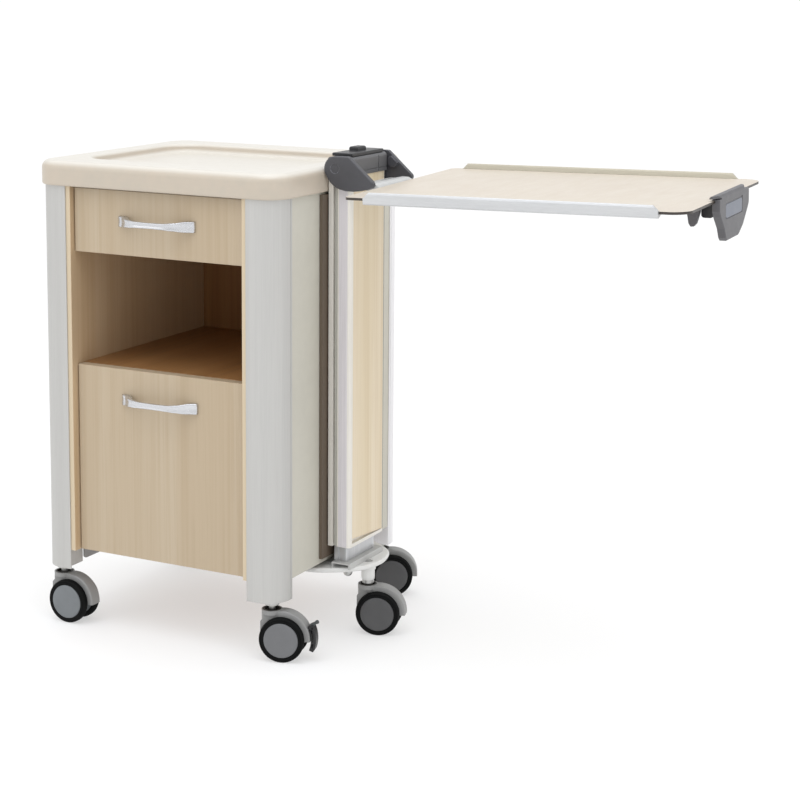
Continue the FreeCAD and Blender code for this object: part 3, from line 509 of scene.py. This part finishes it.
# bow handles: broad flat ends that flare out of a slim, lightly hollowed bar
def handle(name, y_face, z, node, body):
    bm = bmesh.new()
    h = 74.3
    xs = [-h, -h + 1.2, -h + 7, -66, -60, -56, -52, -48, -44, -40, -36, -32, -27, -22, -16, -10, -5, 0]
    xs = xs + [-v for v in reversed(xs[:-1])]
    rings = []
    for x in xs:
        a = abs(x)
        out = lerp(-a, [-74.3, -73.1, -67.3, -47, -38, -26, 0], [3.5, 5.0, 7.6, 21.4, 25.2, 26.6, 27.0])
        back = lerp(-a, [-74.3, -58.2, -56.0, -42.0, -34.0, -24.0, 0], [0.0, 0.0, 3.0, 17.2, 20.4, 21.6, 22.0])
        hh = lerp(-a, [-74.3, -62, -44, -26, 0], [9.2, 8.9, 6.6, 5.3, 5.0])
        if a > 74.0:
            hh -= 0.6
        g = min(0.9, (out - back) * 0.22)
        sec = [(back, hh - 0.5), (back + 0.6, hh), (out - 1.6, hh), (out - 0.5, hh - 0.5), (out, hh - 1.3), (out - 0.15, hh * 0.55),
               (out - g, hh * 0.2), (out - g, -hh * 0.2), (out - 0.15, -hh * 0.55), (out, -hh + 1.3), (out - 0.5, -hh + 0.5), (out - 1.6, -hh),
               (back + 0.6, -hh), (back, -hh + 0.5)]
        rings.append([bm.verts.new(P(x, y_face - 0.02 - d, z + v)) for d, v in sec])
    for i in range(len(rings) - 1):
        n = len(rings[i])
        for k in range(n):
            bm.faces.new((rings[i][k], rings[i][(k + 1) % n], rings[i + 1][(k + 1) % n], rings[i + 1][k]))
    bm.faces.new(rings[0])
    bm.faces.new(list(reversed(rings[-1])))
    return make(name, bm, "chrome", body, 50.0, (node,))


handle("upper_bow_handle", -203.0, 702.6, "upper_handle", "upper_drawer")
handle("lower_bow_handle", -199.0, 402.6, "lower_handle", "lower_drawer")


# casters: ribbed tyres, flat hub discs and their axle
WR, TR = 37.5, 20.0
CASTERS = {"fl": (-208.5, -189.5, 0.0), "fr": (208.5, -189.5, 16.0), "rl": (-208.5, 189.5, 12.0),
           "rr": (208.5, 189.5, 26.7), "table": (284.4, -0.6, 16.75)}
# the front casters take the lighter hub copies, which are painted light
HUB = {"fl": "hub_fl", "fr": "hub_fr", "rl": "hub", "rr": "hub", "table": "hub"}
for k, (cx, cy, ang) in CASTERS.items():
    a = math.radians(ang)
    fwd = Vector((math.cos(a), math.sin(a), 0))
    lat = Vector((-math.sin(a), math.cos(a), 0))
    hub_c = P(cx, cy, WR) + fwd * TR / 1000.0
    bt, bh = bmesh.new(), bmesh.new()
    for s in (-1, 1):
        ax = lat * s
        tyre = [(11.9, 29.2), (11.9, 35.0), (12.4, 36.6), (13.4, 37.4), (14.6, 37.5), (14.9, 36.9), (15.8, 36.9), (16.1, 37.5),
                (17.6, 37.5), (17.9, 36.9), (18.8, 36.9), (19.1, 37.4), (20.4, 37.2), (21.4, 36.7), (22.2, 35.9), (22.6, 35.0),
                (22.6, 34.5), (22.1, 34.2), (22.1, 33.3), (22.7, 33.0), (22.9, 32.0), (22.9, 30.4), (22.5, 29.4), (21.8, 29.1)]
        lathe(bt, tyre, hub_c, ax, (0, 0, 1), 96, 0, True)
        disc = [(12.0, 4.3), (12.0, 28.9), (22.0, 28.95), (22.9, 28.6), (23.4, 27.9), (23.6, 26.9), (23.55, 22.0), (23.5, 6.0), (23.45, 0.0)]
        lathe(bh, disc, hub_c, ax, (0, 0, 1), 96, 0)
    lathe(bh, [(-19.8, 0.0), (-19.8, 4.25), (19.8, 4.25), (19.8, 0.0)], hub_c, lat, (0, 0, 1), 24, 1)
    t = make("tyres_" + k, bt, "tyre", "caster_%s_wheel" % k, 40.0, ("caster_%s_wheels" % k,))
    make("hubs_" + k, bh, [HUB[k], "steel"], "caster_%s_wheel" % k, 40.0)

# bushing under each post, with the bare neck of the stem below it
for k, (cx, cy, ang) in CASTERS.items():
    bm = bmesh.new()
    c = P(cx, cy, 0)
    if k == "table":
        lathe(bm, [(114.8, 0), (114.8, 11.4), (97.0, 11.4), (92.5, 10.9), (90.6, 9.2), (90.4, 0)], c, (0, 0, 1), (1, 0, 0), 48, 0)
        make("stem_sleeve_" + k, bm, ["foot"], "cabinet", 40.0)
    else:
        lathe(bm, [(97.9, 0), (97.9, 10.4), (95.6, 10.4), (95.3, 9.9), (94.7, 9.9), (94.4, 10.4), (90.6, 10.2), (90.2, 9.6), (90.2, 0)],
              c, (0, 0, 1), (1, 0, 0), 48, 0)
        make("stem_bushing_" + k, bm, ["bushing"], "cabinet", 40.0)

# dark cup that the stem stands in, on top of each fork
for k, (cx, cy, ang) in CASTERS.items():
    bm = bmesh.new()
    c = P(cx, cy, 0)
    lathe(bm, [(80.6, 5.7), (80.6, 12.3), (84.1, 12.3), (84.5, 12.8), (84.5, 14.6), (84.1, 15.0), (83.6, 15.0), (83.6, 12.45), (80.2, 12.45), (80.2, 5.7)],
          c, (0, 0, 1), (1, 0, 0), 48, 0, True)
    make("stem_cup_" + k, bm, ["cup"], "caster_%s_swivel" % k, 40.0)


# brake pedal: two bowed ribs joined at the heel, and a rod-like toe
def pedal():
    cx, cy, ang = CASTERS["fr"]
    a = math.radians(ang)
    fwd = Vector((math.cos(a), math.sin(a), 0))
    lat = Vector((-math.sin(a), math.cos(a), 0))
    hub_c = P(cx, cy, WR) + fwd * TR / 1000.0
    bm = bmesh.new()

    def arc(r0, r1, a0, a1, w, n=16):
        rows = []
        for i in range(n + 1):
            t = math.radians(a0 + (a1 - a0) * i / n)
            d = fwd * math.cos(t) + Vector((0, 0, 1)) * math.sin(t)
            rows.append([bm.verts.new(hub_c + (d * r + lat * s) / 1000.0) for r, s in ((r0, -w), (r1, -w), (r1, w), (r0, w))])
        for i in range(n):
            for k in range(4):
                bm.faces.new((rows[i][k], rows[i][(k + 1) % 4], rows[i + 1][(k + 1) % 4], rows[i + 1][k]))
        bm.faces.new(rows[0])
        bm.faces.new(list(reversed(rows[-1])))
    arc(BR0, BR0 + 2.2, -21, 18, 9.0)
    arc(BR0 + 4.4, BR0 + 8.6, -18, 26, 9.0)
    arc(BR0, BR0 + 7.6, -22, -15, 9.0, 4)
    arc(BR0 + 0.4, BR0 + 8.4, 19.5, 28, 9.0, 6)
    o = make("brake_pedal_ribs", bm, ["black"], "brake_pedal", 40.0, ("brake_pedal",))
    soften(o, 0.0007, 2)
    bm = bmesh.new()
    t = math.radians(27)
    base = hub_c + (fwd * math.cos(t) + Vector((0, 0, 1)) * math.sin(t)) * ((BR0 + 5.5) / 1000.0)
    ax = fwd * math.cos(math.radians(33)) + Vector((0, 0, 1)) * math.sin(math.radians(33))
    lathe(bm, [(-1.0, 0), (-1.0, 2.6), (9.0, 2.6), (11.0, 3.2), (13.2, 3.2), (14.2, 2.4), (14.4, 0)], base - lat * 0.0045, ax, lat, 24, 0)
    make("brake_pedal_toe", bm, ["toe"], "brake_pedal", 40.0)


BR0 = 47.0
pedal()

# mast: guide strip in the front slot, fine ribs beside it, and a dark sheet of painted shade in the gap on the cabinet
# side
bm = bmesh.new()
block(bm, 254.6, 259.0, -65.0, -61.2, 161.5, 782.5, 0, True)
make("mast_slot_strip", bm, ["slot"], "table_column", 30.0)
bm = bmesh.new()
n_rib = 7
x0, x1 = 263.4, 279.6
pts = [(x0, -68.1, 161.0)]
for i in range(n_rib):
    u = x0 + (x1 - x0) * i / n_rib
    v = x0 + (x1 - x0) * (i + 1) / n_rib
    w_ = v - u
    pts += [(u + w_ * 0.08, -68.62, 161.0), (u + w_ * 0.5, -68.74, 161.0), (u + w_ * 0.8, -68.62, 161.0), (u + w_ * 0.9, -68.22, 161.0)]
pts += [(x1, -68.1, 161.0)]
prism(bm, pts, (0, 0, 621.5), 0, True)
make("mast_front_ribs", bm, ["mast_rib"], "table_column", 20.0)
# painted shade: a dark brown sheet filling the gap between the right side panel and the mast, where only shade lies
bm = bmesh.new()
block(bm, 236.2, 241.6, -84.0, 46.0, 140.0, 752.0, 0, True)
make("mast_side_gap_painted_shade", bm, ["side_strip"], "cabinet", 30.0)
# a dark strip along the rear edge of the wood on the mast's right face
bm = bmesh.new()
block(bm, 279.9, 285.3, 46.3, 48.6, 166.4, 782.0, 0, True)
make("mast_wood_dark_line", bm, ["strip"], "table_column", 30.0)


# inset plate in the shield of the end grip, and the dark insert in the hinge leaf's drain slot
TAB = (Matrix.Translation(P(344.4, -4.4, 772.2, True)) @ Matrix.Rotation(math.radians(3.0), 4, "Z")
       @ Matrix.Rotation(math.radians(-0.91), 4, "Y") @ Matrix.Rotation(math.radians(0.57), 4, "X"))


def inset():
    bm = bmesh.new()
    pts = [(-33.5, -9.5), (-36.5, -13.0), (-36.5, -27.5), (-33.0, -31.0), (55.0, -31.0), (58.5, -27.5), (58.5, -13.0), (55.5, -9.5)]
    a = [bm.verts.new(TAB @ Vector((0.55105, y / 1000.0, z / 1000.0))) for y, z in pts]
    b = [bm.verts.new(TAB @ Vector((0.55175, y / 1000.0, z / 1000.0))) for y, z in pts]
    n = len(pts)
    bm.faces.new(a)
    bm.faces.new(b[::-1])
    for i in range(n):
        bm.faces.new((a[i], b[i], b[(i + 1) % n], a[(i + 1) % n]))
    o = make("end_grip_inset", bm, ["inset"], "table_board", 30.0)
    soften(o, 0.00025, 2)


inset()
bm = bmesh.new()
block(bm, 300.8, 308.2, 0.3, 39.7, 765.8, 768.6, 0, True)
make("hinge_leaf_insert", bm, ["black"], "table_board", 30.0)


# ---------------------------------------------------------------- stage
def floor():
    bm = bmesh.new()
    bmesh.ops.create_grid(bm, x_segments=4, y_segments=4, size=200.0)
    me = bpy.data.meshes.new("studio_floor")
    bm.to_mesh(me)
    bm.free()
    o = bpy.data.objects.new("studio_floor", me)
    SC.collection.objects.link(o)
    w = Net("floor_white")
    w.color(lin((180, 180, 180)))
    w.set(rough=0.9, spec=0.1)
    w.b.inputs["Emission Color"].default_value = (1.0, 1.0, 1.0, 1.0)
    w.b.inputs["Emission Strength"].default_value = 0.5
    me.materials.append(w.m)


def world():
    wd = bpy.data.worlds.new("studio")
    SC.world = wd
    wd.use_nodes = True
    nt = wd.node_tree
    nt.nodes.clear()
    out = nt.nodes.new("ShaderNodeOutputWorld")
    bg = nt.nodes.new("ShaderNodeBackground")
    tc = nt.nodes.new("ShaderNodeTexCoord")
    sp = nt.nodes.new("ShaderNodeSeparateXYZ")
    nt.links.new(tc.outputs["Generated"], sp.inputs[0])
    parts = []
    # bright band at the horizon, dimmer above it, brightest overhead
    for z0, z1, a, b in ((0.16, 0.34, 1.05, 0.5), (0.30, 0.75, 0.0, 0.82)):
        mr = nt.nodes.new("ShaderNodeMapRange")
        mr.interpolation_type = "SMOOTHSTEP"
        mr.inputs["From Min"].default_value = z0
        mr.inputs["From Max"].default_value = z1
        mr.inputs["To Min"].default_value = a
        mr.inputs["To Max"].default_value = b
        nt.links.new(sp.outputs[2], mr.inputs["Value"])
        parts.append(mr.outputs[0])
    add = nt.nodes.new("ShaderNodeMath")
    add.operation = "ADD"
    nt.links.new(parts[0], add.inputs[0])
    nt.links.new(parts[1], add.inputs[1])
    nt.links.new(add.outputs[0], bg.inputs["Strength"])
    bg.inputs["Color"].default_value = (1.0, 1.0, 1.0, 1.0)
    nt.links.new(bg.outputs[0], out.inputs[0])


def area(name, loc, target, size, power, colour=(1, 1, 1)):
    l = bpy.data.lights.new(name, "AREA")
    l.shape = "RECTANGLE"
    l.size, l.size_y = size
    l.energy = power
    l.color = colour
    o = bpy.data.objects.new(name, l)
    SC.collection.objects.link(o)
    o.location = loc
    d = Vector(target) - Vector(loc)
    o.rotation_euler = d.to_track_quat("-Z", "Y").to_euler()
    return o


floor()
world()
area("overhead", (0.2, -0.6, 3.2), (0.0, 0.0, 0.4), (2.6, 2.6), 33.0, (0.94, 1.0, 1.1))
area("front_left", (-2.4, -3.0, 2.0), (-0.1, 0.0, 0.5), (1.8, 1.8), 8.0)
area("right", (3.2, -0.6, 1.6), (0.0, 0.0, 0.5), (1.4, 1.8), 3.0)

cam = bpy.data.cameras.new("camera")
cam_o = bpy.data.objects.new("camera", cam)
SC.collection.objects.link(cam_o)
YAW, PITCH, ROLL = math.radians(27.244), math.radians(8.195), math.radians(0.441)
c_right = Vector((math.cos(YAW), math.sin(YAW), 0.0))
c_flat = Vector((-math.sin(YAW), math.cos(YAW), 0.0))
c_up0 = Vector((0, 0, 1)) * math.cos(PITCH) + c_flat * math.sin(PITCH)
c_fwd = c_flat * math.cos(PITCH) - Vector((0, 0, 1)) * math.sin(PITCH)
c_r = c_right * math.cos(ROLL) + c_up0 * math.sin(ROLL)
c_u = c_up0 * math.cos(ROLL) - c_right * math.sin(ROLL)
cam_o.matrix_world = Matrix((
    (c_r.x, c_u.x, -c_fwd.x, 1.7974 + DX),
    (c_r.y, c_u.y, -c_fwd.y, -2.8302 + DY),
    (c_r.z, c_u.z, -c_fwd.z, 1.1337),
    (0, 0, 0, 1)))
cam.sensor_width = 36.0
cam.lens = 1959.5 * 36.0 / 801.0
cam.shift_y = -0.19975
cam.clip_end = 600.0
SC.camera = cam_o
SC.view_settings.view_transform = "Standard"
SC.view_settings.look = "None"
